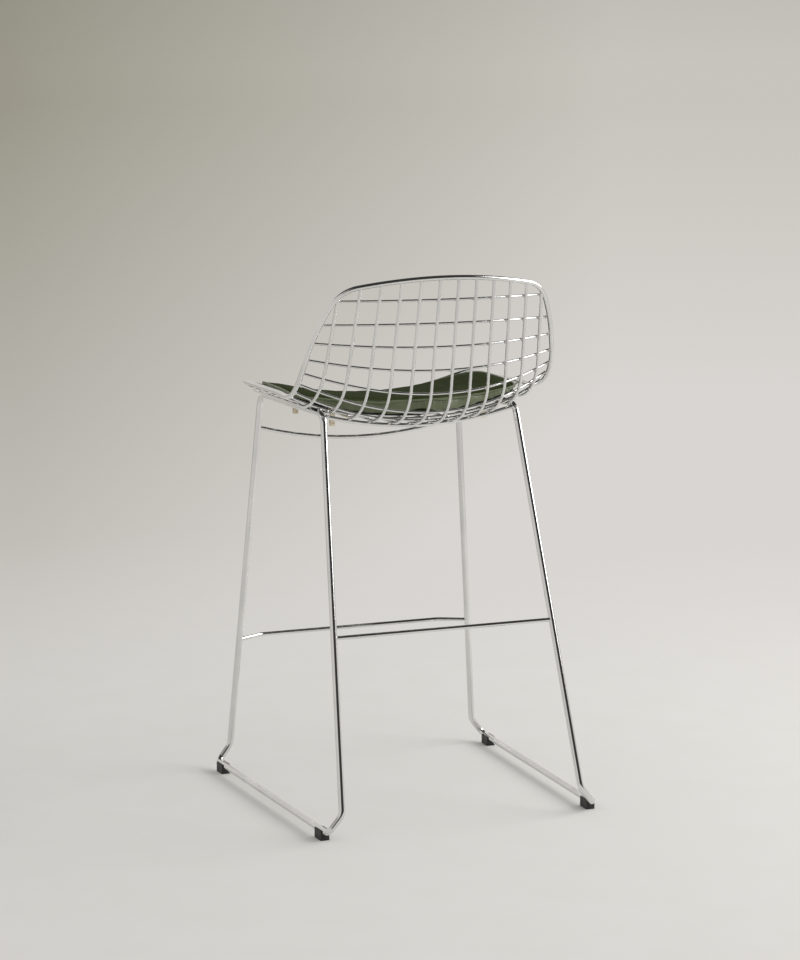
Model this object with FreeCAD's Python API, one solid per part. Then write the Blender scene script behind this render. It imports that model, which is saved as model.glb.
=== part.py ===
import FreeCAD, Part
import math
import os

# A counter-height wire stool: a welded wire basket on two bent-rod side frames, with a clip-on pad.
# Millimetres. +Z is up, the sitter faces -Y, and the origin is on the floor in the middle of the base.

os.makedirs("parts", exist_ok=True)
V = FreeCAD.Vector

# Rod and wire diameters
leg_diameter = 11.0
rim_diameter = 8.0
bar_diameter = 7.0
long_wire_diameter = 5.0
cross_wire_diameter = 4.0

# Basket: its skin is the level where long wires and cross wires touch
seat_height = 643.0
dish_radius = 640.0
seat_front = 223.0
rim_height = 887.0
top_cross_wire_drop = 37.0
back_height = rim_height - top_cross_wire_drop
back_depth = 175.0
back_depth_level = 850.0
back_radius = 540.0
middle_lean_angle = 10.5
side_lean_angle = 13.9
middle_bend_radius = 70.0
side_bend_radius = 95.0

# Wires of the basket
long_wire_pair_count = 6
cross_wire_count = 14
outer_wire_on_seat = 192.5
outer_wire_on_back = 177.5
level_row_count = 2
back_row_count = 8
bend_row_depth = 52.4
row_tilt_angle = 11.5
cross_wire_shoulder = 140.0
hook_run = 18.0
shortest_hook = 10.0
weld_sink = 1.0
lap_past_rim = 0.5
joint_tolerance = 1e-4
least_turn = 1e-5

# Rim, as seen from behind and from above
rim_arch_radius = 800.0
rim_corner_radius = 54.0
rim_flank_inset = 59.4
rim_half_width = 221.0
rim_widest_height = 695.0
rim_widest_depth = 50.0
rim_front_half_width = 215.0
rim_front_corner_radius = 28.0
rim_behind_row_count = 6.0

# Side frames
rail_front = 205.0
rail_rear = 63.0
rail_front_half_width = 183.5
rail_rear_half_width = 171.0
rail_bend_radius = 22.0
foot_depth = 245.5
foot_front_half_width = 231.8
foot_rear_half_width = 211.0
kick_height = 43.0
kick_bend_radius = 24.0
runner_depth = 244.0
runner_front_half_width = 254.5
runner_rear_half_width = 235.0
runner_height = 14.0
runner_bend_radius = 12.0

# Bars between the side frames
rear_bar_depth = 59.0
front_bar_drop = 58.0
front_bar_bow = 26.0
stretcher_height = 312.0
footrest_height = 231.5
footrest_straight_half = 169.0
footrest_depth = 258.5
footrest_bend_radius = 30.0

# Glides
glide_length = 26.0
glide_width = 15.0
glide_height = 17.0
glide_depth = 220.0
glide_mouth = 9.0
glide_clearance = 0.05

# Seat pad
pad_clearance = 0.3
pad_base_thickness = 2.5
pad_base_inset = 6.0
cushion_thickness = 12.0
cushion_rear_thickness = 27.0
cushion_rear_radius = 1500.0
cushion_edge_radius = 6.0
pad_front = 206.0
pad_front_half_width = 200.0
pad_front_corner_radius = 75.0
pad_rear_half_width = 205.0
pad_rear_side = 22.0
pad_rear_corner_radius = 34.0
pad_rear_middle = 46.0
pad_rear_bow_radius = 420.0

# Pad clips
clip_front_half_span = 143.0
clip_rear_half_span = 136.0
rows_to_front_clip_count = 13
rows_to_rear_clip_count = 9
clip_width = 7.0
clip_plate_margin = 3.0
clip_prong = 2.6
clip_wire_clearance = 0.6
clip_reach = 24.0
clip_tip_taper = 1.2
clip_hole_diameter = 3.0
clip_hole_rise = 5.0

leg_radius = leg_diameter / 2
rim_radius = rim_diameter / 2
bar_radius = bar_diameter / 2
long_radius = long_wire_diameter / 2
cross_radius = cross_wire_diameter / 2
rim_behind = weld_sink - rim_radius
rim_over = cross_wire_diameter - weld_sink + rim_radius
dish_axis_height = seat_height + dish_radius


def unit(vector):
    """The same direction with length one."""
    return vector / vector.Length


def mirrored(point, side):
    """The point on the left (side 1) or right (side -1) half of the stool."""
    return V(side * point.x, point.y, point.z)


def sag(radius, x):
    """How far an arc of this radius falls away from its tangent at distance x."""
    return radius - math.sqrt(radius ** 2 - x ** 2)


# Paths and rods

def line(start, end):
    return Part.LineSegment(start, end).toShape()


def arc_from(start, direction, end):
    """The arc that leaves start along direction and reaches end, or a line if end lies ahead."""
    chord = end - start
    half_turn = direction.getAngle(chord)
    if half_turn < least_turn:
        return line(start, end)
    to_middle = unit(unit(direction) + unit(chord)) * (chord.Length / 2 / math.cos(half_turn / 2))
    return Part.Arc(start, start + to_middle, end).toShape()


def biarc(start, start_direction, end, end_direction):
    """Two tangent arcs between two points with given directions."""
    chord = end - start
    if start_direction.getAngle(chord) + end_direction.getAngle(chord) < least_turn:
        return [line(start, end)]
    reach = chord.dot(start_direction + end_direction)
    opening = 2 * (1 - start_direction.dot(end_direction))
    length = chord.Length ** 2 / (reach + math.sqrt(reach ** 2 + opening * chord.Length ** 2))
    first_pole = start + start_direction * length
    second_pole = end - end_direction * length
    meeting = (first_pole + second_pole) / 2
    return [arc_from(start, start_direction, meeting), arc_from(meeting, second_pole - first_pole, end)]


def bent_path(points, radii, closed=False):
    """Straight runs between the points, with a tangent arc of the given radius at each corner."""
    count = len(points)
    corners = range(count) if closed else range(1, count - 1)
    arrive = {0: points[0], count - 1: points[-1]}
    leave = dict(arrive)
    bends = {}
    for i in corners:
        inward = unit(points[i] - points[i - 1])
        outward = unit(points[(i + 1) % count] - points[i])
        tangent = radii[i] * math.tan(inward.getAngle(outward) / 2)
        arrive[i] = points[i] - inward * tangent
        leave[i] = points[i] + outward * tangent
        bends[i] = arc_from(arrive[i], inward, leave[i])
    edges = []
    for i in range(count if closed else count - 1):
        if i in bends:
            edges.append(bends[i])
        edges.append(line(leave[i], arrive[(i + 1) % count]))
    return Part.Wire(edges)


def rod(path, radius):
    """A round rod along the path."""
    first = path.OrderedEdges[0]
    start = first.valueAt(first.FirstParameter)
    direction = first.tangentAt(first.FirstParameter)
    disc = Part.Face(Part.Wire(Part.Edge(Part.Circle(start, direction, radius))))
    return path.makePipe(disc)


def closed_rod(path, radius):
    """A round rod along a closed path, made as two halves that meet end to end."""
    edges = path.OrderedEdges
    half = len(edges) // 2
    first = rod(Part.Wire(edges[:half]), radius)
    second = rod(Part.Wire(edges[half:]), radius)
    return first.fuse([second], joint_tolerance)


def save(shape, name):
    solids = shape.Solids
    assert len(solids) == 1, name + " is not one solid"
    solids[0].exportStep("parts/" + name + ".step")


# The skin of the basket

def blend(middle, sides, x):
    """A value that goes from the middle of the basket to its outer long wires."""
    return middle + (sides - middle) * (x / outer_wire_on_seat) ** 2


class Section:
    """The skin cut at distance x from the middle: back line, bend and seat line in (y, z)."""

    def __init__(self, x):
        self.lean = math.radians(blend(middle_lean_angle, side_lean_angle, x))
        self.back_y = back_depth - sag(back_radius, x)
        self.seat_z = seat_height + sag(dish_radius, x)
        self.bend = blend(middle_bend_radius, side_bend_radius, x)
        self.corner_y = self.back_at(self.seat_z)
        self.tangent = self.bend * math.tan((math.pi / 2 - self.lean) / 2)
        self.bend_y = self.corner_y - self.tangent
        self.bend_z = self.seat_z + self.bend

    def back_at(self, z):
        return self.back_y - (back_depth_level - z) * math.tan(self.lean)

    def along(self, distance):
        """The point at this distance down from the top cross wire."""
        straight = (back_height - self.seat_z) / math.cos(self.lean) - self.tangent
        turn = math.pi / 2 - self.lean
        if distance <= straight:
            z = back_height - distance * math.cos(self.lean)
            return self.back_at(z), z
        if distance <= straight + self.bend * turn:
            angle = self.lean + (distance - straight) / self.bend
            return self.bend_y + self.bend * math.cos(angle), self.bend_z - self.bend * math.sin(angle)
        return self.bend_y - (distance - straight - self.bend * turn), self.seat_z

    def length_to(self, y):
        """Distance from the top cross wire down the back and forward to y on the seat."""
        straight = (back_height - self.seat_z) / math.cos(self.lean) - self.tangent
        return straight + self.bend * (math.pi / 2 - self.lean) + self.bend_y - y

    def meet(self, start, rise):
        """Where a line that rises forward from start enters the section."""
        y, z = start
        forward, up = -math.cos(rise), math.sin(rise)
        to_back = (self.back_at(z) - y) / (forward - up * math.tan(self.lean))
        to_seat = (self.seat_z - z) / up if up > 1e-9 else 0.0
        way = max(to_back, to_seat)
        if z + way * up < self.bend_z and y + way * forward > self.bend_y:
            off_y, off_z = y - self.bend_y, z - self.bend_z
            along = off_y * forward + off_z * up
            inside = along ** 2 - (off_y ** 2 + off_z ** 2 - self.bend ** 2)
            if inside > 0:
                way = max(way, -along - math.sqrt(inside))
        return y + way * forward, z + way * up


middle_section = Section(0.0)
back_run = middle_section.length_to(bend_row_depth)
back_pitch = back_run / (back_row_count - 1)
seat_pitch = (bend_row_depth + seat_front) / (cross_wire_count + 1 - back_row_count)


def row_skin(row, x):
    """The skin point of cross wire number row (whole or not) at distance x from the middle."""
    past_bend = row - back_row_count
    start = middle_section.along(back_run + past_bend * (back_pitch if past_bend < 0 else seat_pitch))
    tilt = min(90.0, max(0.0, (row - level_row_count) * row_tilt_angle))
    y, z = Section(x).meet(start, math.radians(tilt))
    return V(x, y, z)


def back_skin(x, z):
    return V(x, Section(x).back_at(z), z)


def seat_skin(x, y):
    return V(x, y, Section(x).seat_z)


def lifted(skin, first, second, lift):
    """The skin point moved towards the sitter, square to the skin."""
    step = 0.01
    here = skin(first, second)
    square = (skin(first + step, second) - here).cross(skin(first, second + step) - here)
    return here + unit(square) * lift


# The rim

arch_centre_z = rim_height - rim_arch_radius
flank_rise = rim_height - rim_widest_height
rim_flank_radius = (flank_rise ** 2 + rim_flank_inset ** 2) / (2 * rim_flank_inset)
flank_centre_x = rim_half_width - rim_flank_radius


def corner_centre():
    """Centre of the rim's upper corner, tangent to the arch and to the flank, in (x, z)."""
    to_arch = rim_arch_radius - rim_corner_radius
    to_flank = rim_flank_radius - rim_corner_radius
    apart_x = flank_centre_x
    apart_z = rim_widest_height - arch_centre_z
    apart = math.hypot(apart_x, apart_z)
    ahead = (to_arch ** 2 - to_flank ** 2 + apart ** 2) / (2 * apart)
    aside = math.sqrt(to_arch ** 2 - ahead ** 2)
    x = (ahead * apart_x + aside * apart_z) / apart
    z = arch_centre_z + (ahead * apart_z - aside * apart_x) / apart
    return x, z


corner_x, corner_z = corner_centre()
arch_end_angle = math.atan2(corner_z - arch_centre_z, corner_x)
flank_start_angle = math.atan2(corner_z - rim_widest_height, corner_x - flank_centre_x)
flank_start_z = corner_z + rim_corner_radius * math.sin(flank_start_angle)


def edge_half_width(y, z):
    """Half the width of the basket at this place on its flank."""
    if z > flank_start_z:
        return corner_x + math.sqrt(max(0.0, rim_corner_radius ** 2 - (z - corner_z) ** 2))
    if z > rim_widest_height:
        return rim_half_width - sag(rim_flank_radius, z - rim_widest_height)
    taper = (rim_half_width - rim_front_half_width) / (rim_widest_depth + seat_front)
    return rim_half_width - taper * max(0.0, rim_widest_depth - y)


def row_edge(row):
    """Half the width of the basket at the end of cross wire number row."""
    x = rim_half_width
    for _ in range(12):
        point = row_skin(row, x)
        x = edge_half_width(point.y, point.z)
    return x


def row_at_height(z):
    """The number, whole or not, of the cross wire that ends on the flank at this height."""
    low, high = 1.0, float(cross_wire_count)
    for _ in range(40):
        half = (low + high) / 2
        if row_skin(half, row_edge(half)).z > z:
            low = half
        else:
            high = half
    return low


first_flank_row = row_at_height(flank_start_z)
first_seat_row = level_row_count + 90.0 / row_tilt_angle
front_corner_x = rim_front_half_width - rim_front_corner_radius
front_corner_y = rim_front_corner_radius - seat_front


def arch(share):
    angle = math.pi / 2 + share * (arch_end_angle - math.pi / 2)
    x = rim_arch_radius * math.cos(angle)
    return lifted(back_skin, x, arch_centre_z + rim_arch_radius * math.sin(angle), rim_behind)


def upper_corner(share):
    angle = arch_end_angle + share * (flank_start_angle - arch_end_angle)
    x = corner_x + rim_corner_radius * math.cos(angle)
    return lifted(back_skin, x, corner_z + rim_corner_radius * math.sin(angle), rim_behind)


def back_flank(share):
    """Behind the cross wires on the back, crossing over them round the bend to lie on the seat."""
    row = first_flank_row + share * (first_seat_row - first_flank_row)
    cross = min(1.0, max(0.0, (row - rim_behind_row_count) / (first_seat_row - rim_behind_row_count)))
    lift = rim_behind + (rim_over - rim_behind) * cross ** 2 * (3 - 2 * cross)
    return lifted(row_skin, row, row_edge(row), lift)


def front_corner(share):
    angle = -share * math.pi / 2
    x = front_corner_x + rim_front_corner_radius * math.cos(angle)
    return lifted(seat_skin, x, front_corner_y + rim_front_corner_radius * math.sin(angle), rim_over)


def front_edge(share):
    return lifted(seat_skin, front_corner_x * (1 - share), -seat_front, rim_over)


def rim_stations():
    """Points and directions down the left half of the rim, from its top to its front."""
    step = 1e-4
    stations = []
    stretches = ((arch, 2), (upper_corner, 2), (back_flank, 7), (front_corner, 2), (front_edge, 2))
    for stretch, spans in stretches:
        for i in range(spans):
            here = stretch(i / spans)
            stations.append((here, unit(stretch(i / spans + step) - here)))
        if stretch is back_flank:
            seat_flank_start = back_flank(1.0)
            straight = unit(front_corner(0.0) - seat_flank_start)
            stations.append((seat_flank_start, straight))
        if stretch is front_corner:
            stations[-spans] = (front_corner(0.0), straight)
    stations[0] = (arch(0.0), V(1, 0, 0))
    stations.append((front_edge(1.0), V(-1, 0, 0)))
    return stations


def rim_path():
    left = rim_stations()
    right = [(mirrored(point, -1), -mirrored(way, -1)) for point, way in reversed(left)]
    stations = left + right[1:]
    edges = []
    for (start, start_way), (end, end_way) in zip(stations, stations[1:]):
        edges += biarc(start, start_way, end, end_way)
    return Part.Wire(edges)


# The wires

def trimmed(wire, rim):
    """The wire cut off where it meets the rim, without the scrap past it."""
    cuts = []
    for coarseness in (1, 10, 100):
        pieces = wire.cut([rim], coarseness * joint_tolerance).Solids
        kept = max(pieces, key=lambda piece: piece.Volume)
        cuts.append((kept.common(rim).Volume, coarseness, kept))
        if kept.isValid() and cuts[-1][0] < joint_tolerance:
            return kept
    return min(cuts, key=lambda cut: cut[:2])[2]


def cross_wire(row, rim):
    """One cross wire: a middle arc and two outer arcs, lapped onto the rim."""
    middle = lifted(row_skin, row, 0.0, cross_radius)
    bend = lifted(row_skin, row, cross_wire_shoulder, cross_radius)
    end = lifted(row_skin, row, row_edge(row) + lap_past_rim, cross_radius)
    middle_arc = Part.Arc(mirrored(bend, -1), middle, bend).toShape()
    way = middle_arc.tangentAt(middle_arc.LastParameter)
    left_arc = arc_from(bend, way, end)
    right_arc = arc_from(mirrored(bend, -1), mirrored(way, -1), mirrored(end, -1))
    path = Part.Wire(Part.__sortEdges__([left_arc, middle_arc, right_arc]))
    return trimmed(rod(path, cross_radius), rim)


def rim_crossing(points, seat_x, back_x):
    """Where the rim, given as points, crosses the slanting plane of a long wire."""
    fan = (back_x - seat_x) / (back_height - seat_height)
    beyond = [p.x - seat_x - fan * (p.z - seat_height) for p in points]
    for i in range(len(points) - 1):
        if beyond[i] * beyond[i + 1] <= 0 and beyond[i] != beyond[i + 1]:
            share = beyond[i] / (beyond[i] - beyond[i + 1])
            return points[i] + (points[i + 1] - points[i]) * share


def run_to_rim(start, way, target, least):
    """A straight run of at least this length along way, then a hook onto the rim if there is room."""
    full = (target - start).dot(way)
    hook = min(hook_run, full - least)
    if hook < shortest_hook:
        return [line(start, start + way * full)]
    foot = start + way * (full - hook)
    return [line(start, foot), arc_from(foot, way, target)]


def long_wire(pair, upper_rim, lower_rim, rim):
    """One long wire: hooked onto the front rim, along the seat, round the bend and up to the top rim."""
    share = (2 * pair - 1) / (2 * long_wire_pair_count - 1)
    seat_x = outer_wire_on_seat * share
    back_x = outer_wire_on_back * share
    seat = Section(seat_x)
    slope = math.asin(seat_x / dish_radius)
    drop = long_radius * math.cos(slope)
    aside = long_radius * math.sin(slope)
    top_y = Section(back_x).back_at(back_height) + drop / math.cos(seat.lean)
    top = V(back_x + aside, top_y, back_height)
    corner_height = seat.seat_z - drop
    corner = V(seat_x + aside, seat.back_at(corner_height) + drop / math.cos(seat.lean), corner_height)
    up = unit(top - corner)
    forward = V(0, -1, 0)
    tangent = (seat.bend + drop) * math.tan((-up).getAngle(forward) / 2)
    bend_top = corner + up * tangent
    bend_front = corner + forward * tangent
    past_top_cross_wire = (top - bend_top).Length + cross_radius
    edges = run_to_rim(bend_top, up, rim_crossing(upper_rim, seat_x, back_x), past_top_cross_wire)
    edges.append(arc_from(bend_top, -up, bend_front))
    edges += run_to_rim(bend_front, forward, rim_crossing(lower_rim, seat_x, back_x), 0.0)
    return trimmed(rod(Part.Wire(Part.__sortEdges__(edges)), long_radius), rim)


# The side frames and the bars between them

rail_front_corner = V(rail_front_half_width, -rail_front, Section(rail_front_half_width).seat_z - leg_radius)
rail_rear_corner = V(rail_rear_half_width, rail_rear, Section(rail_rear_half_width).seat_z - leg_radius)
front_kick = V(foot_front_half_width, -foot_depth, kick_height)
rear_kick = V(foot_rear_half_width, foot_depth, kick_height)
front_floor_corner = V(runner_front_half_width, -runner_depth, runner_height)
rear_floor_corner = V(runner_rear_half_width, runner_depth, runner_height)


def on_leg(top, foot, height):
    """The point of a leg's centre line at this height."""
    return top + (foot - top) * ((top.z - height) / (top.z - foot.z))


def side_frame(side):
    """One closed loop of rod: rail, rear leg, runner and front leg."""
    corners = [
        rail_front_corner,
        rail_rear_corner,
        rear_kick,
        rear_floor_corner,
        front_floor_corner,
        front_kick,
    ]
    radii = [
        rail_bend_radius,
        rail_bend_radius,
        kick_bend_radius,
        runner_bend_radius,
        runner_bend_radius,
        kick_bend_radius,
    ]
    return closed_rod(bent_path([mirrored(c, side) for c in corners], radii, closed=True), leg_radius)


def between_frames(path, frames):
    """A bar along the path, its ends coped onto the side frames."""
    return rod(path, bar_radius).cut(frames[0]).cut(frames[1])


def rear_seat_bar(frames):
    """Bowed bar that carries the long wires, concentric with the dish."""
    radius = dish_radius + long_wire_diameter + bar_radius
    end_x = rail_rear_half_width
    end = V(end_x, rear_bar_depth, dish_axis_height - math.sqrt(radius ** 2 - end_x ** 2))
    middle = V(0, rear_bar_depth, dish_axis_height - radius)
    return between_frames(Part.Wire(Part.Arc(mirrored(end, -1), middle, end).toShape()), frames)


def front_seat_bar(frames):
    end = on_leg(rail_front_corner, front_kick, rail_front_corner.z - front_bar_drop)
    middle = V(0, end.y, end.z - front_bar_bow)
    return between_frames(Part.Wire(Part.Arc(mirrored(end, -1), middle, end).toShape()), frames)


def rear_stretcher(frames):
    end = on_leg(rail_rear_corner, rear_kick, stretcher_height)
    return between_frames(Part.Wire(line(mirrored(end, -1), end)), frames)


def footrest(frames):
    end = on_leg(rail_front_corner, front_kick, footrest_height)
    bend = V(footrest_straight_half, -footrest_depth, footrest_height)
    points = [mirrored(end, -1), mirrored(bend, -1), bend, end]
    radii = [0.0, footrest_bend_radius, footrest_bend_radius, 0.0]
    return between_frames(bent_path(points, radii), frames)


# The glides

def glide(side, end):
    """A saddle under the runner with a round seat that snaps over the rod, end -1 front or 1 rear."""
    runner = rear_floor_corner - front_floor_corner
    middle = front_floor_corner + runner * ((end * glide_depth - front_floor_corner.y) / runner.y)
    block = Part.makeBox(glide_width, glide_length, glide_height, V(-glide_width / 2, -glide_length / 2, 0))
    rod_start = V(0, -glide_length, runner_height)
    seat = Part.makeCylinder(leg_radius + glide_clearance, 2 * glide_length, rod_start, V(0, 1, 0))
    mouth_corner = rod_start - V(glide_mouth / 2, 0, 0)
    mouth = Part.makeBox(glide_mouth, 2 * glide_length, glide_height, mouth_corner)
    saddle = block.cut(seat).cut(mouth)
    saddle.rotate(V(0, 0, 0), V(0, 0, 1), side * math.degrees(math.atan2(-runner.x, runner.y)))
    saddle.translate(V(side * middle.x, middle.y, 0))
    return saddle


# The seat pad

pad_underside_radius = dish_radius - cross_wire_diameter - pad_clearance


def dish_slab(outer_radius, thickness):
    """A slab bent to the dish of the seat, longer than the pad."""
    start = V(0, -2 * seat_front, dish_axis_height)
    outer = Part.makeCylinder(outer_radius, 4 * seat_front, start, V(0, 1, 0))
    inner = Part.makeCylinder(outer_radius - thickness, 4 * seat_front, start, V(0, 1, 0))
    return outer.cut(inner)


def pad_prism(inset):
    """The pad's outline seen from above, as an upright prism."""
    front = inset - pad_front
    points = [
        V(pad_front_half_width - inset, front, 0),
        V(pad_rear_half_width - inset, pad_rear_side - inset, 0),
        V(0, pad_rear_middle - inset, 0),
        V(inset - pad_rear_half_width, pad_rear_side - inset, 0),
        V(inset - pad_front_half_width, front, 0),
    ]
    radii = [
        pad_front_corner_radius - inset,
        pad_rear_corner_radius - inset,
        pad_rear_bow_radius,
        pad_rear_corner_radius - inset,
        pad_front_corner_radius - inset,
    ]
    return Part.Face(bent_path(points, radii, closed=True)).extrude(V(0, 0, dish_axis_height))


def room_above_cushion():
    """The space over the top panel, which follows the dish in front and is drawn flatter behind."""
    underside = dish_axis_height - pad_underside_radius + pad_base_thickness
    wide = pad_rear_half_width + pad_rear_corner_radius
    ends = []
    for y, thickness, radius in (
        (-pad_front, cushion_thickness, pad_underside_radius - pad_base_thickness - cushion_thickness),
        (pad_rear_middle, cushion_rear_thickness, cushion_rear_radius),
    ):
        low = underside + thickness
        side = low + sag(radius, wide)
        dip = Part.Arc(V(-wide, y, side), V(0, y, low), V(wide, y, side)).toShape()
        over = [V(wide, y, side), V(wide, y, dish_axis_height), V(-wide, y, dish_axis_height), V(-wide, y, side)]
        ends.append(Part.Wire([dip] + Part.makePolygon(over).Edges))
    return Part.makeLoft(ends, True, True)


def cushion():
    """Foam and cover: dished below, with a rounded upper edge and a taller border behind."""
    outer_radius = pad_underside_radius - pad_base_thickness
    start = V(0, -2 * seat_front, dish_axis_height)
    bowl = Part.makeCylinder(outer_radius, 4 * seat_front, start, V(0, 1, 0))
    slab = pad_prism(0.0).common(bowl).cut(room_above_cushion()).Solids[0]
    middle_radius = outer_radius - cushion_thickness / 2
    upper = [edge for edge in slab.Edges if all(dish_distance(v.Point) < middle_radius for v in edge.Vertexes)]
    return slab.makeFillet(cushion_edge_radius, upper)


def dish_distance(point):
    """Distance from the axis of the dish."""
    return math.hypot(point.x, point.z - dish_axis_height)


clip_depth = cross_wire_diameter + 2 * clip_wire_clearance + 2 * clip_prong


def clip_plate_prism(place, margin):
    """Outline of a clip's plate as an upright prism, with this much room round it."""
    width = clip_width + 2 * (clip_plate_margin + margin)
    length = clip_depth + 2 * (clip_plate_margin + margin)
    corner = V(place.x - width / 2, place.y - length / 2, seat_height)
    return Part.makeBox(width, length, dish_radius / 2, corner)


def pad_clip(place):
    """A plate set into the base, with two prongs that go down on either side of a cross wire."""
    clip = clip_plate_prism(place, 0.0).common(dish_slab(pad_underside_radius, pad_base_thickness))
    top = place.z + cross_wire_diameter + pad_clearance + pad_base_thickness / 2
    bottom = place.z - clip_reach
    near = cross_radius + clip_wire_clearance
    far = near + clip_prong
    for end in (-1, 1):
        profile = [
            V(0, end * near, top),
            V(0, end * near, bottom),
            V(0, end * (far - clip_tip_taper), bottom),
            V(0, end * far, bottom + clip_prong),
            V(0, end * far, top),
        ]
        prong = Part.Face(Part.makePolygon(profile + profile[:1])).extrude(V(clip_width, 0, 0))
        prong.translate(V(place.x - clip_width / 2, place.y, 0))
        clip = clip.fuse(prong)
    hole_start = V(place.x, place.y - clip_depth, bottom + clip_hole_rise)
    hole = Part.makeCylinder(clip_hole_diameter / 2, 2 * clip_depth, hole_start, V(0, 1, 0))
    return clip.cut(hole).removeSplitter()


def clip_places():
    """Name of each clip, and the point of the skin on the cross wire it holds."""
    front = row_skin(rows_to_front_clip_count, clip_front_half_span)
    rear = row_skin(rows_to_rear_clip_count, clip_rear_half_span)
    return {
        "pad_clip_front_left": front,
        "pad_clip_front_right": mirrored(front, -1),
        "pad_clip_rear_left": rear,
        "pad_clip_rear_right": mirrored(rear, -1),
    }


def pad_base():
    """The board under the foam, cut out round the plates of the clips."""
    board = pad_prism(pad_base_inset).common(dish_slab(pad_underside_radius, pad_base_thickness))
    for place in clip_places().values():
        board = board.cut(clip_plate_prism(place, pad_clearance))
    return board


def build():
    sides = {"left": 1, "right": -1}
    frames = [side_frame(side) for side in sides.values()]
    for name, frame in zip(sides, frames):
        save(frame, "side_frame_" + name)
    save(rear_seat_bar(frames), "rear_seat_bar")
    save(front_seat_bar(frames), "front_seat_bar")
    save(rear_stretcher(frames), "rear_stretcher")
    save(footrest(frames), "footrest")
    for name, side in sides.items():
        save(glide(side, -1), "glide_front_" + name)
        save(glide(side, 1), "glide_rear_" + name)

    path = rim_path()
    rim = closed_rod(path, rim_radius)
    save(rim, "rim")
    half = [p for p in path.discretize(Distance=1.0) if p.x >= 0]
    half_height = (rim_height + seat_height) / 2
    upper_rim = sorted((p for p in half if p.z > half_height), key=lambda p: p.x)
    lower_rim = sorted((p for p in half if p.y < front_corner_y + rim_radius), key=lambda p: p.x)
    for row in range(1, cross_wire_count + 1):
        save(cross_wire(row, rim), "cross_wire_%02d" % row)
    for pair in range(1, long_wire_pair_count + 1):
        wire = long_wire(pair, upper_rim, lower_rim, rim)
        for name, side in sides.items():
            save(wire if side > 0 else wire.mirror(V(0, 0, 0), V(1, 0, 0)), "long_wire_%s_%d" % (name, pair))

    save(cushion(), "pad_cushion")
    save(pad_base(), "pad_base")
    for name, place in clip_places().items():
        save(pad_clip(place), name)


build()
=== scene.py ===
# %% [markdown]
# # A chromed wire counter stool with a clip-on seat pad
# The stool is a basket of welded wire on two bent rod frames, chromed all over.
# A thin upholstered pad hangs on to the seat wires by four plastic clips.
# The CAD model is the fixed frame here: every wire already lies in its right place,
# so this lesson gives the metal its finish, sews the pad, and adds the small details.

# %% Load the fixed frame
import math

import bpy
import numpy
from mathutils import Matrix, Vector, geometry
from mathutils.bvhtree import BVHTree
from mathutils.kdtree import KDTree


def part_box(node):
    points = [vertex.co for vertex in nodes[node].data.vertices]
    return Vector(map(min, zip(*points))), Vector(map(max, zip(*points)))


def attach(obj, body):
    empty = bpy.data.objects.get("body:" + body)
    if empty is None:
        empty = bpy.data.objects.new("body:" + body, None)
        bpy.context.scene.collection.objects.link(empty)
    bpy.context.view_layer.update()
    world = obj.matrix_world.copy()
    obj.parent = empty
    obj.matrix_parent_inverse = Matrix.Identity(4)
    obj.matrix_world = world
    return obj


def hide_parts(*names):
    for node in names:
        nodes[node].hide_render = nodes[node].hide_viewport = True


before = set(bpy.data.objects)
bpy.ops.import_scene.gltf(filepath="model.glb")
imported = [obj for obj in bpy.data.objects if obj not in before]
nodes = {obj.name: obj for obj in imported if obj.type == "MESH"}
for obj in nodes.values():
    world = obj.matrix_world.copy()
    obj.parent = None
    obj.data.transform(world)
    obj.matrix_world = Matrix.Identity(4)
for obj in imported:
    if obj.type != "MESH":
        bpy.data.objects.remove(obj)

scene = bpy.context.scene
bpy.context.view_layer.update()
mm = 0.001

# %% [markdown]
# ## The camera
# The picture was taken from behind the stool and a little to its left, from a bit
# above the top of the back, with a long lens, so the uprights hardly converge.
# A learner could drag the camera by hand; here its place and turn are written down,
# so that every render shows the same view.

# %% Set up the camera
deg = math.radians(1)
camera_place = Vector((1.6671, 4.0175, 1.2174))
camera_data = bpy.data.cameras.new("studio_camera")
camera_data.sensor_width = 36
camera_data.lens = 98.55
camera_data.shift_y = 0.0045
camera_data.clip_end = 400
camera = bpy.data.objects.new("studio_camera", camera_data)
camera.location = camera_place
camera.rotation_euler = (80.97 * deg, 0, 157.59 * deg)
scene.collection.objects.link(camera)
scene.camera = camera
scene.view_settings.view_transform = "Standard"
print("camera:", [round(v, 3) for v in camera.location], "lens", camera_data.lens)

# %% [markdown]
# ## Small helpers for materials
# Every finish below is a handful of nodes: a noise for patches, a finer noise for
# grain, ramps to squeeze their contrast, and a bump. These helpers only make the
# nodes and join them up, so that each finish reads as a short list of what it shows.

# %% Node helpers
def new_finish(name):
    """A material with its shader and the Object coordinates that all patterns read."""
    finish = bpy.data.materials.new(name)
    finish.use_nodes = True
    tree = finish.node_tree
    shader = tree.nodes["Principled BSDF"]
    place = tree.nodes.new("ShaderNodeTexCoord").outputs["Object"]
    return finish, tree, shader, place


def set_socket(socket, value):
    """A number or colour goes straight on the socket, and a node's output is linked to it."""
    if isinstance(value, bpy.types.NodeSocket):
        socket.id_data.links.new(value, socket)
    else:
        socket.default_value = value


def noise(tree, place, scale, detail=3.0, roughness=0.5):
    node = tree.nodes.new("ShaderNodeTexNoise")
    node.inputs["Scale"].default_value = scale
    node.inputs["Detail"].default_value = detail
    node.inputs["Roughness"].default_value = roughness
    tree.links.new(place, node.inputs["Vector"])
    return node.outputs["Fac"]


def spread(tree, value, low, high, to_low, to_high):
    """Turns the range low..high of a value into to_low..to_high, and stops there."""
    node = tree.nodes.new("ShaderNodeMapRange")
    for socket, number in zip(node.inputs[1:5], (low, high, to_low, to_high)):
        socket.default_value = number
    tree.links.new(value, node.inputs["Value"])
    return node.outputs["Result"]


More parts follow.
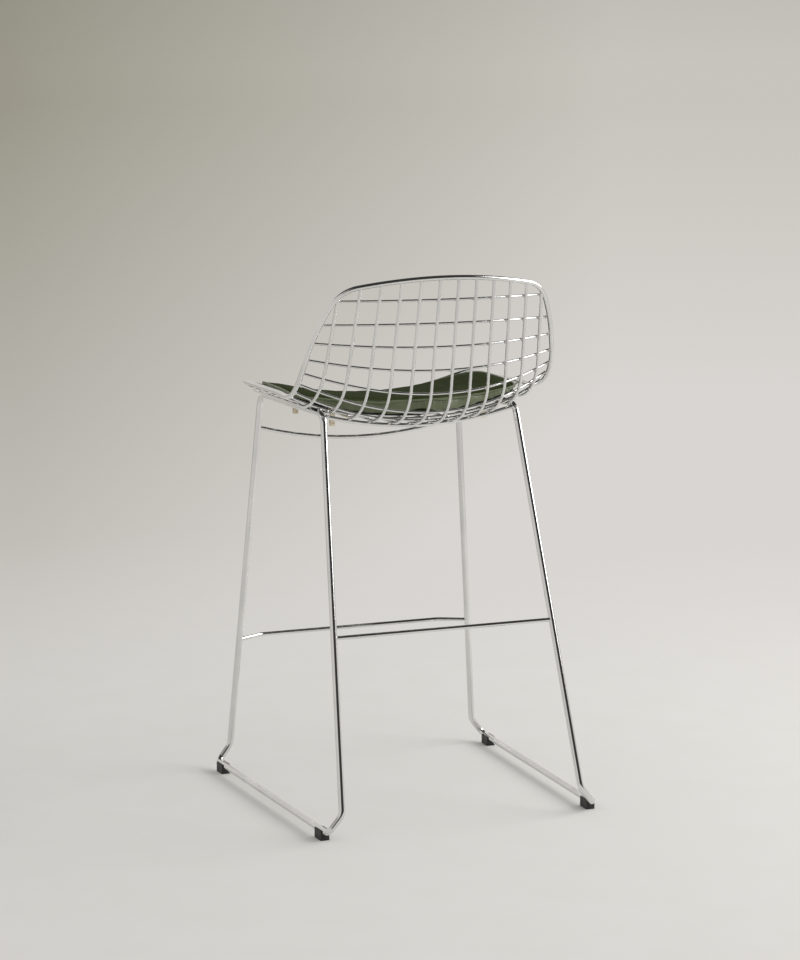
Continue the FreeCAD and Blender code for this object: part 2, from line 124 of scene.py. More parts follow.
def calc(tree, operation, first, second=0.0):
    node = tree.nodes.new("ShaderNodeMath")
    node.operation = operation
    set_socket(node.inputs[0], first)
    set_socket(node.inputs[1], second)
    return node.outputs["Value"]


def blend_colours(tree, amount, first, second):
    node = tree.nodes.new("ShaderNodeMix")
    node.data_type = "RGBA"
    set_socket(node.inputs[0], amount)
    set_socket(node.inputs[6], first)
    set_socket(node.inputs[7], second)
    return node.outputs[2]


def bump(tree, height, distance, strength=1.0):
    node = tree.nodes.new("ShaderNodeBump")
    node.inputs["Distance"].default_value = distance
    node.inputs["Strength"].default_value = strength
    tree.links.new(height, node.inputs["Height"])
    return node.outputs["Normal"]


def dress(names, finish):
    """Gives CAD nodes a finish in the material slots that they already have."""
    for name in names:
        for slot in nodes[name].material_slots:
            slot.material = finish
    print(finish.name, "on", len(names), "nodes")


# %% [markdown]
# ## The floor
# The stool stands on a plain pale studio floor that runs on without an edge.
# A plane with a wall behind it would block the other views, so one very large disc
# is used: near the stool it takes light and shadow, and far away it fades
# into a glowing tone shared with the world, with painted shade that darkens it
# to the left, so that no horizon shows.

# %% Lay the floor
camera_turn = 22.41 * deg
view_ahead = Vector((-math.sin(camera_turn), -math.cos(camera_turn), 0))
view_left = Vector((-view_ahead.y, view_ahead.x, 0))
camera_reach = 4.35
floor_radius = 150
lit_floor_radius = 0.75
plain_floor_radius = 2.6
near_tone = (0.69, 0.668, 0.645, 1)
# Painted shade: the far tones are darker than near_tone, and the left one much darker, as if the studio were
# lit from the right.
far_left_painted_shade = (0.325, 0.311, 0.256, 1)
far_right_tone = (0.575, 0.555, 0.508, 1)


def dot_with(tree, vector, direction):
    node = tree.nodes.new("ShaderNodeVectorMath")
    node.operation = "DOT_PRODUCT"
    node.inputs[1].default_value = direction
    tree.links.new(vector, node.inputs[0])
    return node.outputs["Value"]


def far_tone_with_painted_shade(tree, leftness):
    """The studio's tone far off, with painted shade: darker to the left of the picture than to its right, as
    if lit from the right.
    """
    return blend_colours(tree, spread(tree, leftness, -0.08, 0.15, 0, 1), far_right_tone, far_left_painted_shade)


def off_to_the_side(tree, ahead):
    """0 in the picture's own direction, and 1 for a viewer who looks the other way."""
    return spread(tree, ahead, -0.1, 0.75, 1, 0)


def floor_finish():
    finish, tree, shader, place = new_finish("studio_floor")
    grain = noise(tree, place, 9.0, 4.0)
    set_socket(shader.inputs["Base Color"],
               blend_colours(tree, spread(tree, grain, 0.3, 0.7, 0, 1),
                             (0.715, 0.70, 0.672, 1), (0.73, 0.715, 0.69, 1)))
    shader.inputs["Roughness"].default_value = 0.75
    shader.inputs["Specular IOR Level"].default_value = 0.2
    along_view = dot_with(tree, place, view_ahead)
    ahead = calc(tree, "MAXIMUM", calc(tree, "ADD", along_view, camera_reach), 3.0)
    leftness = calc(tree, "DIVIDE", dot_with(tree, place, view_left), ahead)
    length = tree.nodes.new("ShaderNodeVectorMath")
    length.operation = "LENGTH"
    tree.links.new(place, length.inputs[0])
    far_off = length.outputs["Value"]
    nearness = calc(tree, "MAXIMUM", calc(tree, "SUBTRACT", calc(tree, "DIVIDE", 1.0, ahead), 0.012), 0.0)
    closeness = calc(tree, "DIVIDE", nearness, spread(tree, leftness, -0.08, 0.145, 0.09, 0.24))
    aside = off_to_the_side(tree, calc(tree, "DIVIDE", along_view, calc(tree, "MAXIMUM", far_off, 0.1)))
    near_or_aside = calc(tree, "MAXIMUM", closeness, aside)
    # Far off, the floor glows with the studio's tone instead of taking light; that glow carries the painted
    # shade to the left.
    far_glow_with_painted_shade = tree.nodes.new("ShaderNodeEmission")
    set_socket(far_glow_with_painted_shade.inputs["Color"],
               blend_colours(tree, near_or_aside, far_tone_with_painted_shade(tree, leftness), near_tone))
    join = tree.nodes.new("ShaderNodeMixShader")
    tree.links.new(spread(tree, far_off, lit_floor_radius, plain_floor_radius, 0, 1), join.inputs[0])
    tree.links.new(shader.outputs[0], join.inputs[1])
    tree.links.new(far_glow_with_painted_shade.outputs[0], join.inputs[2])
    tree.links.new(join.outputs[0], tree.nodes["Material Output"].inputs["Surface"])
    return finish


bpy.ops.object.select_all(action="DESELECT")
bpy.ops.mesh.primitive_circle_add(vertices=96, radius=floor_radius, fill_type="NGON",
                                  location=(0, 0, 0))
floor = bpy.context.object
floor.name = "studio_floor"
floor.data.materials.append(floor_finish())
print("floor radius:", round(floor.dimensions.x / 2, 1))

# %% [markdown]
# ## The light
# Chrome has hardly a colour of its own: it shows the room. In the picture the room
# is pale all round but for a dim sector behind the camera, and one wide soft lamp
# stands off to the right. Each upright shows that in stripes: pale, dark, bright.
# The world gives the pale room with its dim sector, and an area lamp is the softbox.

# %% Light the studio
dim_middle = Vector((math.sin(-5 * deg), math.cos(-5 * deg), 0))
dim_tone = (0.04, 0.04, 0.038, 1)


def studio_world():
    world = bpy.data.worlds.new("studio_room")
    scene.world = world
    world.use_nodes = True
    tree = world.node_tree
    towards = tree.nodes.new("ShaderNodeTexCoord").outputs["Generated"]

    height = dot_with(tree, towards, (0, 0, 1))
    ahead = dot_with(tree, towards, view_ahead)
    leftness = calc(tree, "DIVIDE", dot_with(tree, towards, view_left), calc(tree, "MAXIMUM", ahead, 0.05))
    flat = calc(tree, "SQRT", calc(tree, "SUBTRACT", 1.0, calc(tree, "MULTIPLY", height, height)))
    facing = calc(tree, "DIVIDE", dot_with(tree, towards, dim_middle), calc(tree, "MAXIMUM", flat, 0.02))
    sector = spread(tree, facing, math.cos(47 * deg), math.cos(39 * deg), 0, 1)
    ceiling = spread(tree, height, 0.45, 0.75, 0, 1)
    mirrored = tree.nodes.new("ShaderNodeBackground")
    set_socket(mirrored.inputs["Color"],
               blend_colours(tree, calc(tree, "MAXIMUM", sector, ceiling), near_tone, dim_tone))
    # The world as the camera sees it uses the same far tones, with their painted shade to the left.
    seen = tree.nodes.new("ShaderNodeBackground")
    set_socket(seen.inputs["Color"],
               blend_colours(tree, off_to_the_side(tree, ahead), far_tone_with_painted_shade(tree, leftness), near_tone))
    set_socket(seen.inputs["Strength"], spread(tree, height, 0.0, 0.025, 1.0, 0.93))
    dome = tree.nodes["Background"]
    dome.inputs["Color"].default_value = (0.66, 0.66, 0.65, 1)
    path = tree.nodes.new("ShaderNodeLightPath")

    def choose(kind, first, second):
        node = tree.nodes.new("ShaderNodeMixShader")
        tree.links.new(path.outputs[kind], node.inputs[0])
        tree.links.new(first, node.inputs[1])
        tree.links.new(second, node.inputs[2])
        return node.outputs[0]

    lit = choose("Is Glossy Ray", dome.outputs[0], mirrored.outputs[0])
    shown = choose("Is Camera Ray", lit, seen.outputs[0])
    tree.links.new(shown, tree.nodes["World Output"].inputs["Surface"])


def soft_lamp(name, place, aim, width, height, power):
    lamp = bpy.data.lights.new(name, "AREA")
    lamp.shape = "RECTANGLE"
    lamp.size, lamp.size_y, lamp.energy = width, height, power
    holder = bpy.data.objects.new(name, lamp)
    holder.location = place
    holder.rotation_euler = (Vector(aim) - Vector(place)).to_track_quat("-Z", "Y").to_euler()
    holder.visible_camera = False
    scene.collection.objects.link(holder)


studio_world()
soft_lamp("key_softbox", (-4.3, 1.2, 2.7), (0, 0, 0.45), 4.2, 2.8, 190)

# %% [markdown]
# ## The chrome
# Rods and wires were welded first and plated afterwards, so one bright skin covers
# wire and weld alike. Plating is a mirror with a faint haze: fingers and polishing
# cloths leave patches, and the drawn wire under it is never quite smooth.
# So the finish is a metal whose roughness wanders a little, over a very fine bump.

# %% Chrome for every rod and wire
def chrome_finish():
    finish, tree, shader, place = new_finish("bright_chrome")
    patches = noise(tree, place, 14.0, 4.0, 0.6)
    fine = noise(tree, place, 900.0, 2.0)
    ripple = noise(tree, place, 120.0, 2.0)
    shader.inputs["Metallic"].default_value = 1.0
    set_socket(shader.inputs["Base Color"],
               blend_colours(tree, spread(tree, patches, 0.35, 0.7, 0, 1),
                             (0.80, 0.80, 0.79, 1), (0.70, 0.705, 0.70, 1)))
    haze = calc(tree, "ADD", spread(tree, patches, 0.3, 0.75, 0.03, 0.10),
                spread(tree, fine, 0.3, 0.7, 0.0, 0.03))
    set_socket(shader.inputs["Roughness"], haze)
    height = calc(tree, "ADD", calc(tree, "MULTIPLY", ripple, 0.8), calc(tree, "MULTIPLY", fine, 0.2))
    set_socket(shader.inputs["Normal"], bump(tree, height, 0.00006, 0.5))
    return finish


chrome = chrome_finish()
metal_names = [n for n in nodes if not n.startswith(("pad_", "glide_"))]
dress(metal_names, chrome)

# %% [markdown]
# ## Floor glides
# Four black plastic saddles snap on to the runners so that the metal never
# touches the floor. Moulded plastic has a fine spark-eroded grain and a slight sheen.

# %% Plastic finishes
def moulded_finish(name, light, dark, rough_low, rough_high, grain_size):
    finish, tree, shader, place = new_finish(name)
    patches = noise(tree, place, 60.0, 3.0)
    grain = noise(tree, place, grain_size, 2.0)
    set_socket(shader.inputs["Base Color"],
               blend_colours(tree, spread(tree, patches, 0.3, 0.7, 0, 1), light, dark))
    set_socket(shader.inputs["Roughness"], spread(tree, grain, 0.3, 0.7, rough_low, rough_high))
    set_socket(shader.inputs["Normal"], bump(tree, grain, 0.0001, 0.4))
    return finish


glide_black = moulded_finish("glide_black", (0.022, 0.022, 0.023, 1),
                             (0.012, 0.012, 0.013, 1), 0.42, 0.62, 1400.0)
clip_ivory = moulded_finish("clip_ivory", (0.76, 0.68, 0.52, 1),
                            (0.68, 0.60, 0.44, 1), 0.34, 0.48, 900.0)
print("plastics:", glide_black.name, clip_ivory.name)

# %% [markdown]
# ## Working copies
# A CAD piece is never touched, but a copy of its mesh may be worked on like any other.
# The copy comes as loose triangles, so its doubles are merged and its flat
# areas are joined into single faces before anything is inset or bevelled.

# %% Helpers for working on a piece
def pick(piece):
    """Makes one object the only selected and active one."""
    bpy.ops.object.select_all(action="DESELECT")
    piece.select_set(True)
    bpy.context.view_layer.objects.active = piece


def working_copy(node_name, name):
    """A new object with a merged copy of a CAD node's mesh."""
    piece = bpy.data.objects.new(name, nodes[node_name].data.copy())
    scene.collection.objects.link(piece)
    pick(piece)
    bpy.ops.mesh.customdata_custom_splitnormals_clear()
    bpy.ops.object.mode_set(mode="EDIT")
    bpy.ops.mesh.select_all(action="SELECT")
    bpy.ops.mesh.remove_doubles(threshold=0.02 * mm)
    bpy.ops.object.mode_set(mode="OBJECT")
    return piece


def select_faces(piece, wanted):
    """Selects the faces for which wanted(face) is true, and stays in edit mode."""
    pick(piece)
    bpy.ops.object.mode_set(mode="EDIT")
    bpy.ops.mesh.select_mode(type="FACE")
    bpy.ops.mesh.select_all(action="DESELECT")
    bpy.ops.object.mode_set(mode="OBJECT")
    for face in piece.data.polygons:
        face.select = wanted(face)
    bpy.ops.object.mode_set(mode="EDIT")


def finish_with(piece, kind, **settings):
    """Adds a modifier with these settings and applies it."""
    pick(piece)
    modifier = piece.modifiers.new(kind.lower(), kind)
    for name, value in settings.items():
        setattr(modifier, name, value)
    bpy.ops.object.modifier_apply(modifier=modifier.name)


def moulded(piece, edge):
    """Joins flat areas, rounds the edges as a mould does, and smooths the rest."""
    pick(piece)
    bpy.ops.object.mode_set(mode="EDIT")
    bpy.ops.mesh.select_all(action="SELECT")
    bpy.ops.mesh.dissolve_limited(angle_limit=2 * deg)
    bpy.ops.object.mode_set(mode="OBJECT")
    finish_with(piece, "BEVEL", width=edge, segments=3, limit_method="ANGLE", angle_limit=35 * deg)
    bpy.ops.object.shade_smooth_by_angle(angle=40 * deg)


def hand_over(piece, finish, slot_name, body, *stands_for):
    """Gives a piece its finish, and says what it moves with and which CAD nodes it stands for."""
    piece.data.materials.clear()
    piece.data.materials.append(finish)
    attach(piece, body)
    if stands_for:
        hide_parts(*stands_for)
    print(piece.name, "faces:", len(piece.data.polygons))


# %% [markdown]
# ## Saddle-shaped glides
# Each glide is a small block with a groove that grips the runner. A real one has
# rounded edges and a shallow panel sunk in each flank, where the mould was cored out.
# The block and its groove come from the CAD piece; the panels are an inset with a
# little depth, and one bevel rounds every edge at the end.

# %% Round and panel the four glides
glide_panel_rim = 2.2 * mm
glide_panel_depth = -0.5 * mm
for node_name in [n for n in nodes if n.startswith("glide_")]:
    glide = working_copy(node_name, node_name + "_saddle")
    bpy.ops.object.mode_set(mode="EDIT")
    bpy.ops.mesh.dissolve_limited(angle_limit=2 * deg)
    bpy.ops.object.mode_set(mode="OBJECT")
    widest = max(face.area for face in glide.data.polygons if abs(face.normal.x) > 0.9)
    select_faces(glide, lambda face: abs(face.normal.x) > 0.9 and face.area > 0.6 * widest)
    bpy.ops.mesh.inset(thickness=glide_panel_rim, depth=glide_panel_depth)
    bpy.ops.object.mode_set(mode="OBJECT")
    moulded(glide, 0.6 * mm)
    hand_over(glide, glide_black, "glide_plastic", "stool", node_name)

# %% [markdown]
# ## Pad clips
# Four ivory clips hang from the pad's board and straddle a cross wire each.
# Only their prongs show, below the seat. Their edges are rounded like the glides',
# but finer, because the whole prong is only a few millimetres thick.

# %% Round the four clips
for node_name in [n for n in nodes if n.startswith("pad_clip_")]:
    clip = working_copy(node_name, node_name + "_prongs")
    moulded(clip, 0.35 * mm)
    hand_over(clip, clip_ivory, "clip_plastic", "pad", node_name)

# %% [markdown]
# ## The pad's board
# Under the cushion lies a thin stiff board in a dark lining cloth.
# It shows only from below, between the wires.

# %% Lining cloth on the board
def lining_finish():
    finish, tree, shader, place = new_finish("board_lining")
    weave = tree.nodes.new("ShaderNodeTexChecker")
    weave.inputs["Scale"].default_value = 900.0
    tree.links.new(place, weave.inputs["Vector"])
    cloud = noise(tree, place, 40.0, 4.0)
    set_socket(shader.inputs["Base Color"],
               blend_colours(tree, cloud, (0.016, 0.018, 0.015, 1), (0.03, 0.032, 0.026, 1)))
    set_socket(shader.inputs["Roughness"], spread(tree, cloud, 0.3, 0.7, 0.8, 0.95))
    set_socket(shader.inputs["Normal"], bump(tree, weave.outputs["Fac"], 0.0002, 0.5))
    return finish


dress(["pad_base"], lining_finish())

# %% [markdown]
# ## The pad's cover
# Dark olive leather with a fine pebbled grain, drawn over thin foam. The top panel is
# matte from use; the border and the piping are stretched tight and keep a polish.
# Each piece carries a number for this at every point, and the finish reads it: a high
# number makes the leather glossier, and also paints it much paler, as painted sheen
# for the light and reflection that the border and the piping catch.

# %% Leather
def leather_finish():
    finish, tree, shader, place = new_finish("olive_leather")
    polish_and_sheen_reader = tree.nodes.new("ShaderNodeAttribute")
    polish_and_sheen_reader.attribute_name = "polish_and_painted_sheen"
    polish_and_painted_sheen = polish_and_sheen_reader.outputs["Fac"]
    cells = tree.nodes.new("ShaderNodeTexVoronoi")
    cells.feature = "DISTANCE_TO_EDGE"
    cells.inputs["Scale"].default_value = 750.0
    tree.links.new(place, cells.inputs["Vector"])
    pebble = spread(tree, cells.outputs["Distance"], 0.0, 0.25, 0, 1)
    cloud = noise(tree, place, 22.0, 5.0, 0.6)
    patches = spread(tree, cloud, 0.3, 0.7, 0, 1)
    matte = blend_colours(tree, patches, (0.028, 0.037, 0.012, 1), (0.036, 0.047, 0.017, 1))
    # Painted sheen: the polished colour is far paler than the matte one, for the light and reflection that
    # the border and piping catch.
    bright = blend_colours(tree, patches, (0.150, 0.172, 0.100, 1), (0.190, 0.215, 0.130, 1))
    set_socket(shader.inputs["Base Color"], blend_colours(tree, polish_and_painted_sheen, matte, bright))
    set_socket(shader.inputs["Roughness"],
               calc(tree, "SUBTRACT", spread(tree, polish_and_painted_sheen, 0.0, 1.0, 0.85, 0.45),
                    calc(tree, "MULTIPLY", patches, 0.06)))
    shader.inputs["Specular IOR Level"].default_value = 0.03
    set_socket(shader.inputs["Coat Weight"], polish_and_painted_sheen)
    shader.inputs["Coat Roughness"].default_value = 0.34
    set_socket(shader.inputs["Normal"], bump(tree, pebble, 0.00012, 0.5))
    return finish


leather = leather_finish()
print("leather:", leather.name)

# %% [markdown]
# ## Sewing the pad
# The pad is thin foam in a sewn cover: a top panel, a border all round, and a piped
# seam between them. A block with rounded edges would look dead. So the CAD solid is
# copied, made a little smaller, remeshed into even small faces, and blown up with
# cloth simulation, while the underside stays held where it rests on the board.

# %% Cut the foam
foam_under_size = 3.0 * mm
foam_face = 4 * mm
cover = working_copy("pad_cushion", "pad_cover")
finish_with(cover, "REMESH", mode="VOXEL", voxel_size=foam_face)
finish_with(cover, "DISPLACE", strength=-foam_under_size, mid_level=0.0)
print("foam faces:", len(cover.data.polygons))


# %% [markdown]
# ## Blowing up the cover
# Pressure pushes the held skin outwards, most where it is widest, as stuffing does.
# How far a point may go is capped, because a sewn cover cannot stretch.

# %% Swell the cover
dish_axis = Vector((0, 0, 1.283))


def points_of(piece):
    flat = numpy.empty(len(piece.data.vertices) * 3)
    piece.data.vertices.foreach_get("co", flat)
    return flat.reshape(-1, 3)


def put_points(piece, points):
    piece.data.vertices.foreach_set("co", points.ravel())
    piece.data.update()


def height_over_dish(points):
    """How far points stand above the round floor of the pad."""
    reach = numpy.hypot(points[:, 0] - dish_axis.x, points[:, 2] - dish_axis.z)
    return reach.max() - reach


def swell(piece, held_height, pressure, frames, cap):
    start = points_of(piece)
    held = piece.vertex_groups.new(name="held")
    low = numpy.nonzero(height_over_dish(start) < held_height)[0]
    held.add([int(i) for i in low], 1.0, "REPLACE")
    pick(piece)
    cloth = piece.modifiers.new("swell", "CLOTH")
    cloth.settings.quality = 6
    cloth.settings.mass = 0.2
    cloth.settings.tension_stiffness = 12
    cloth.settings.compression_stiffness = 12
    cloth.settings.bending_stiffness = 0.4
    cloth.settings.vertex_group_mass = "held"
    cloth.settings.use_pressure = True
    cloth.settings.uniform_pressure_force = pressure
    cloth.settings.effector_weights.gravity = 0
    cloth.point_cache.frame_end = frames
    for step in range(1, frames + 1):
        scene.frame_set(step)
    bpy.ops.object.modifier_apply(modifier="swell")
    moved = points_of(piece) - start
    far = numpy.linalg.norm(moved, axis=1, keepdims=True)
    eased = cap * numpy.tanh(far / cap)
    put_points(piece, start + moved * eased / numpy.maximum(far, 1e-9))
    piece.vertex_groups.clear()
    scene.frame_set(1)
    print("swelled by up to", round(far.max() / mm, 2), "mm, kept", round(eased.max() / mm, 2), "mm")


swell(cover, 2.5 * mm, 1.0, 20, 6 * mm)
finish_with(cover, "SUBSURF", levels=1, render_levels=1)
bpy.ops.object.shade_smooth()

# %% [markdown]
# ## Settling the pad
# The foam was cut small, so its underside is let down on to the board again. In the
# picture the two sides of the pad curl up a little and lie over the inner edge of the
# wire rim, more at the front than at the back. The move grows smoothly from the middle
# of the pad to its sides, and the top goes further than the underside.

# %% Let the pad down and curl its sides
curl_start = 115 * mm
curl_end = 200 * mm
curl_at_rear = 0.3


def eased(values, start, end):
    """0 before start, 1 after end, and a smooth step between them."""
    step = numpy.clip((values - start) / (end - start), 0, 1)
    return step * step * (3 - 2 * step)


def curl(points, top):
    """The sideways and upward move of points, where top runs from 0 underneath to 1 on top."""
    amount = eased(numpy.abs(points[:, 0]), curl_start, curl_end)
    amount *= curl_at_rear + (1 - curl_at_rear) * eased(-points[:, 1], -30 * mm, 70 * mm)
    return numpy.sign(points[:, 0]) * amount * (1 + 7 * top) * mm, amount * (1.5 + 2.5 * top) * mm


settled = points_of(cover)
lowest = height_over_dish(settled)
settled[:, 2] -= (foam_under_size - 0.2 * mm) * numpy.clip(1 - lowest / (10 * mm), 0, 1)
sideways, upward = curl(settled, numpy.clip(lowest / (7 * mm), 0, 1))
settled[:, 0] += sideways
settled[:, 2] += upward
put_points(cover, settled)
print("pad sides curl out by", round(sideways.max() / mm, 1), "mm",
      "and up by", round(upward.max() / mm, 1), "mm")

# %% [markdown]
# ## Finding the seam
# The seam between top panel and border runs just inside the pad's outline, high on
# its edge. The outline seen from above is the hull of the cover's own points. A ray
# sent down a little inside each outline point finds how high the cover stands there.

# %% Walk round the pad's edge
seam_inset = 2.4 * mm
piping_radius = 1.7 * mm


def pad_outline(piece, count):
    """Evenly spaced points round a piece seen from above, with the way out at each."""
    flat = [v.co.xy for v in piece.data.vertices]
    ring = numpy.array([flat[i] for i in geometry.convex_hull_2d(flat)])
    ring = numpy.vstack([ring, ring[:1]])
    steps = numpy.hypot(*numpy.diff(ring, axis=0).T)
    travelled = numpy.concatenate([[0], numpy.cumsum(steps)])
    at = numpy.linspace(0, travelled[-1], count, endpoint=False)
    points = numpy.stack([numpy.interp(at, travelled, ring[:, i]) for i in (0, 1)], axis=1)
    along = numpy.roll(points, -2, axis=0) - numpy.roll(points, 2, axis=0)
    out = numpy.stack([along[:, 1], -along[:, 0]], axis=1)
    out /= numpy.linalg.norm(out, axis=1, keepdims=True)
    out *= numpy.sign((out * (points - points.mean(axis=0))).sum(axis=1).mean())
    return points, out, travelled[-1]


def seam_heights(piece, points, out, inset):
    depsgraph = bpy.context.evaluated_depsgraph_get()
    skin = BVHTree.FromObject(piece, depsgraph)
    heights = []
    for place, way in zip(points, out):
        hit, reach = None, inset
        while hit is None:
            hit = skin.ray_cast(Vector((*(place - way * reach), 1.0)), Vector((0, 0, -1)))[0]
            reach += 0.5 * mm
        heights.append(hit.z)
    return numpy.array(heights)


edge, edge_out, edge_length = pad_outline(cover, 480)
seam_z = seam_heights(cover, edge, edge_out, seam_inset)
seam_z = sum(numpy.roll(seam_z, k) for k in range(-4, 5)) / 9
print("seam length:", round(edge_length, 3), "m, from", round(seam_z.min(), 4), "to", round(seam_z.max(), 4))

# %% [markdown]
# ## Drawing the seam in
# A sewn seam pulls the cover in, and the cover gathers in small pleats beside it.
# Each point of the cover is moved by its own distance from the seam: a groove on the
# line itself, fine pleats next to it, and wide soft folds down the border. At the
# middle of the rear the border stands away from the board, as it does in the picture.

# %% Groove, pleats and folds
groove_depth = 1.6 * mm
groove_width = 2.2 * mm
pleat_depth = 0.6 * mm
pleat_length = 8.5 * mm
fold_depth = 0.9 * mm
fold_length = 47 * mm
gape_rise = 9 * mm
gape_middle = -10 * mm
gape_width = 26 * mm


def wave(run, length):
    return numpy.sin(2 * math.pi * run / length)


def uneven_wave(run, length, wander, wander_length):
    """A wave whose crests come now sooner and now later, as gathers in leather do."""
    return numpy.sin(2 * math.pi * run / length + wander * wave(run, wander_length))


def give_polish_and_painted_sheen(piece, amounts):
    """Writes how polished the leather is at each point of a piece, a number which also paints it paler as
    painted sheen.
    """
    layer = piece.data.attributes.new("polish_and_painted_sheen", "FLOAT", "POINT")
    layer.data.foreach_set("value", amounts)


def sew(piece):
    points = points_of(piece)
    normals = numpy.empty(points.size)
    piece.data.vertices.foreach_get("normal", normals)
    normals = normals.reshape(-1, 3)
    finder = KDTree(len(edge))
    for i, place in enumerate(edge):
        finder.insert((place[0], place[1], 0), i)
    finder.balance()
    nearest = numpy.array([finder.find((p[0], p[1], 0))[1] for p in points])
    inward = -((points[:, :2] - edge[nearest]) * edge_out[nearest]).sum(axis=1)
    away = numpy.hypot(inward - seam_inset - piping_radius, points[:, 2] - seam_z[nearest])
    run = nearest / len(edge) * edge_length
    on_border = numpy.clip(2.3 - numpy.abs(normals[:, 2]) * 2.6, 0, 1) * (inward < 9 * mm)
    groove = -groove_depth * numpy.exp(-(away / groove_width) ** 2)
    strength = 0.6 + 0.4 * wave(run, 151 * mm)
    beside_seam = numpy.exp(-away / (6 * mm)) * numpy.clip(away / (3 * mm), 0, 1)
    pleats = pleat_depth * uneven_wave(run, pleat_length, 2.2, 63 * mm) * strength * beside_seam
    folds = fold_depth * uneven_wave(run, fold_length, 0.9, 173 * mm)
    points = points + normals * (groove + pleats + folds * on_border)[:, None]
    height = height_over_dish(points)
    gape = gape_rise * numpy.exp(-((points[:, 0] - gape_middle) / gape_width) ** 2)
    low_at_rear = (points[:, 1] > 20 * mm) * numpy.clip(1 - height / (13 * mm), 0, 1)
    points[:, 2] += gape * low_at_rear * numpy.clip(1 - inward / (16 * mm), 0, 1)
    put_points(piece, points)
    # Painted light: the border's number makes it glossier and paints it paler as painted sheen, and the rear
    # border is painted paler still towards the right of the picture, where the lamp stands.
    give_polish_and_painted_sheen(piece, on_border * (0.68 + 0.32 * eased(-points[:, 0], 10 * mm, 90 * mm)))


sew(cover)
hand_over(cover, leather, "pad_cover", "pad", "pad_cushion")

# %% [markdown]
# ## Piping
# A thin leather-covered cord is sewn into the seam and stands up as a crisp line.
# A curve laid round the pad with a round bevel gives the cord at once; turning it
# into a mesh lets it carry the same leather as the cover.

# %% Sew in the piping
piping_line = bpy.data.curves.new("pad_piping", "CURVE")
piping_line.dimensions = "3D"
piping_line.bevel_depth = piping_radius
piping_line.bevel_resolution = 3
piping_line.resolution_u = 3
cord = piping_line.splines.new("NURBS")
cord.use_cyclic_u = True
cord.order_u = 4
every = 3
cord.points.add(len(edge) // every - 1)
for knot, i in zip(cord.points, range(0, len(edge), every)):
    place = edge[i] - edge_out[i] * (seam_inset - 0.6 * mm)
    knot.co = (place[0], place[1], seam_z[i] - 0.1 * mm, 1)
piping = bpy.data.objects.new("pad_piping", piping_line)
scene.collection.objects.link(piping)
pick(piping)
bpy.ops.object.convert(target="MESH")
piping = bpy.context.object
bpy.ops.object.mode_set(mode="EDIT")
bpy.ops.mesh.select_all(action="SELECT")
bpy.ops.mesh.remove_doubles(threshold=0.01 * mm)
bpy.ops.mesh.normals_make_consistent(inside=False)
bpy.ops.object.mode_set(mode="OBJECT")
bpy.ops.object.shade_smooth()
# Painted highlight: the piping's high number paints it paler, as the light line along the seam, and makes it
# glossy.
give_polish_and_painted_sheen(piping, numpy.full(len(piping.data.vertices), 0.8))
hand_over(piping, leather, "pad_cover", "pad")

# %% [markdown]
# ## Welds
# Each of the crossings was pressed together between two electrodes and melted, so a
# small lump of metal fills the four corners between the wires. One lump is modelled:
# a ball pressed flat, with its sides pulled in where the wires run. It is then copied
# to every place where two CAD rods touch, turned to suit the two wires there.

# %% Find where rods touch
def rod_points(name, step):
    """Points spread over a rod's surface: its own corners, and more along its long edges."""
    mesh = nodes[name].data
    corners = numpy.array([v.co[:] for v in mesh.vertices])
    pairs = numpy.array([e.vertices[:] for e in mesh.edges])
    spans = corners[pairs[:, 1]] - corners[pairs[:, 0]]
    counts = (numpy.linalg.norm(spans, axis=1) / step).astype(int)
    parts = [corners]
    for pair, span, count in zip(pairs[counts > 0], spans[counts > 0], counts[counts > 0]):
        parts.append(corners[pair[0]] + span * (numpy.arange(1, count + 1) / (count + 1))[:, None])
    return numpy.vstack(parts)


metal_skin = {}
metal_points = {}
for name in metal_names:
    mesh = nodes[name].data
    metal_skin[name] = BVHTree.FromPolygons([v.co for v in mesh.vertices],
                                            [f.vertices for f in mesh.polygons])
    metal_points[name] = rod_points(name, 2.5 * mm)


def touching_places(first, second, gap):
    """Middles of the spots where one rod comes this close to another."""
    low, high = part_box(second)
    points = metal_points[first]
    near = ((points > numpy.array(low) - gap) & (points < numpy.array(high) + gap)).all(axis=1)
    spots = []
    for point in points[near]:
        hit = metal_skin[second].find_nearest(Vector(point), gap)
        if hit[0] is None:
            continue
        middle = (Vector(point) + hit[0]) / 2
        for spot in spots:
            if (spot[0] / spot[1] - middle).length < 14 * mm:
                spot[0] += middle
                spot[1] += 1
                break
        else:
            spots.append([middle.copy(), 1])
    return [total / count for total, count in spots]


def rod_way(name, place, reach):
    """Which way a rod runs at a place, from the longest spread of its points there."""
    points = metal_points[name]
    close = points[numpy.linalg.norm(points - numpy.array(place), axis=1) < reach]
    spread_of = numpy.linalg.svd(close - close.mean(axis=0), full_matrices=False)[2]
    return Vector(spread_of[0]).normalized()


long_names = [n for n in metal_names if n.startswith("long_wire")]
cross_names = [n for n in metal_names if n.startswith("cross_wire")]
crossings = [(a, b, spot) for a in long_names for b in cross_names
             for spot in touching_places(b, a, 0.5 * mm)]
rim_ends = [(n, "rim", spot) for n in long_names + cross_names
            for spot in touching_places(n, "rim", 0.3 * mm)]
bar_names = ["front_seat_bar", "rear_seat_bar", "side_frame_left", "side_frame_right"]
bar_rests = [(n, b, spot) for b in bar_names for n in long_names + cross_names
             for spot in touching_places(n, b, 0.6 * mm)]
print("crossings:", len(crossings), "rim ends:", len(rim_ends), "rests on bars:", len(bar_rests))

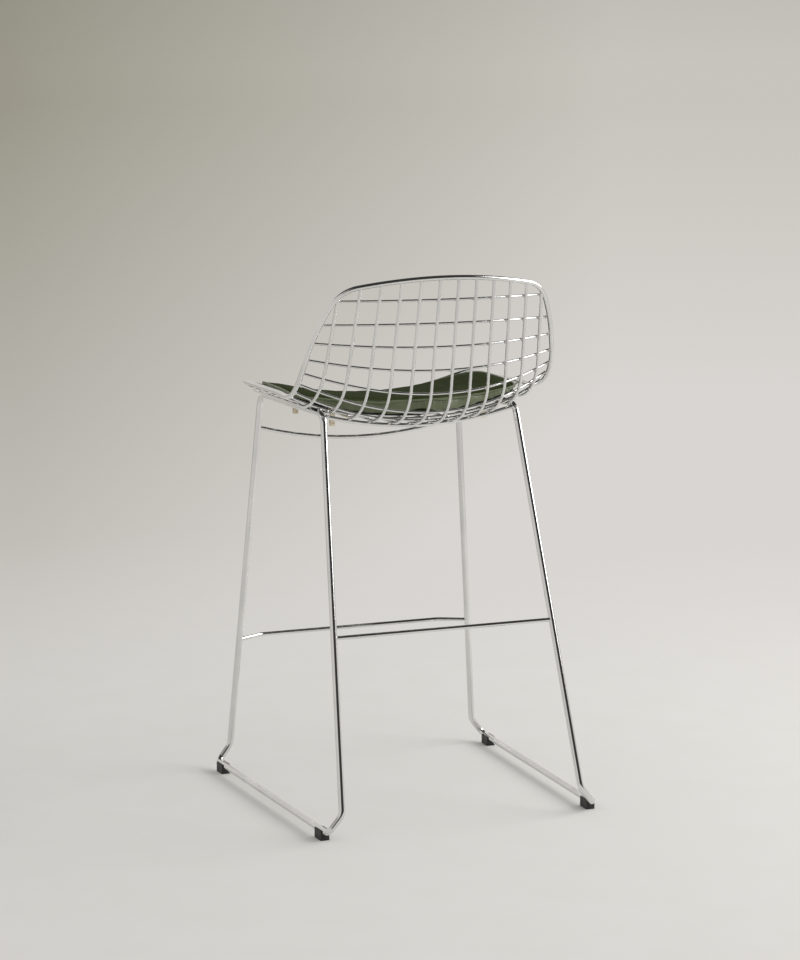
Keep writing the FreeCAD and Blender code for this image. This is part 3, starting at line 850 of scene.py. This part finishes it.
# %% [markdown]
# ## One weld
# A low ball of a few faces is pressed flat, and the corners on its two axes are pulled
# in, so that four small lobes are left to fill the corners where two wires cross.

# %% Model one weld
bpy.ops.object.select_all(action="DESELECT")
bpy.ops.mesh.primitive_uv_sphere_add(segments=8, ring_count=5, radius=1 * mm, location=(0, 0, 0))
weld = bpy.context.object
weld.name = "weld_lump"
bpy.ops.object.mode_set(mode="EDIT")
bpy.ops.transform.resize(value=(4.2, 4.2, 1.6))
bpy.ops.mesh.select_all(action="DESELECT")
bpy.ops.object.mode_set(mode="OBJECT")
for corner in weld.data.vertices:
    corner.select = abs(corner.co.x * corner.co.y) < 1e-9 and corner.co.xy.length > 1 * mm
bpy.ops.object.mode_set(mode="EDIT")
bpy.ops.transform.resize(value=(0.5, 0.5, 1.15))
bpy.ops.object.mode_set(mode="OBJECT")
bpy.ops.object.shade_smooth()
print("weld faces:", len(weld.data.polygons))


# %% [markdown]
# ## All the welds
# Each copy is turned so that its lobes lie between its own two wires. The welds of the
# basket, of the rim and of the bars are joined into one piece each, in the same chrome.

# %% Copy the weld to every joint
def lay_welds(name, joints, size):
    copies = []
    for first, second, spot in joints:
        way = rod_way(first, spot, 8 * mm)
        other = rod_way(second, spot, 12 * mm)
        square = way.cross(other)
        if square.length < 0.2:
            square = way.orthogonal()
        square.normalize()
        side = square.cross(way)
        turn = Matrix((way, side, square)).transposed().to_4x4()
        lump = weld.copy()
        lump.data = weld.data.copy()
        lump.matrix_world = Matrix.Translation(spot) @ turn @ Matrix.Scale(size, 4)
        scene.collection.objects.link(lump)
        copies.append(lump)
    bpy.ops.object.select_all(action="DESELECT")
    for lump in copies:
        lump.select_set(True)
    bpy.context.view_layer.objects.active = copies[0]
    bpy.ops.object.join()
    welds = bpy.context.object
    welds.name = name
    bpy.ops.object.transform_apply(location=True, rotation=True, scale=True)
    hand_over(welds, chrome, "chrome_rod", "stool")


lay_welds("basket_welds", crossings, 1.0)
lay_welds("rim_welds", rim_ends, 1.1)
lay_welds("bar_welds", bar_rests, 1.05)
bpy.data.objects.remove(weld)
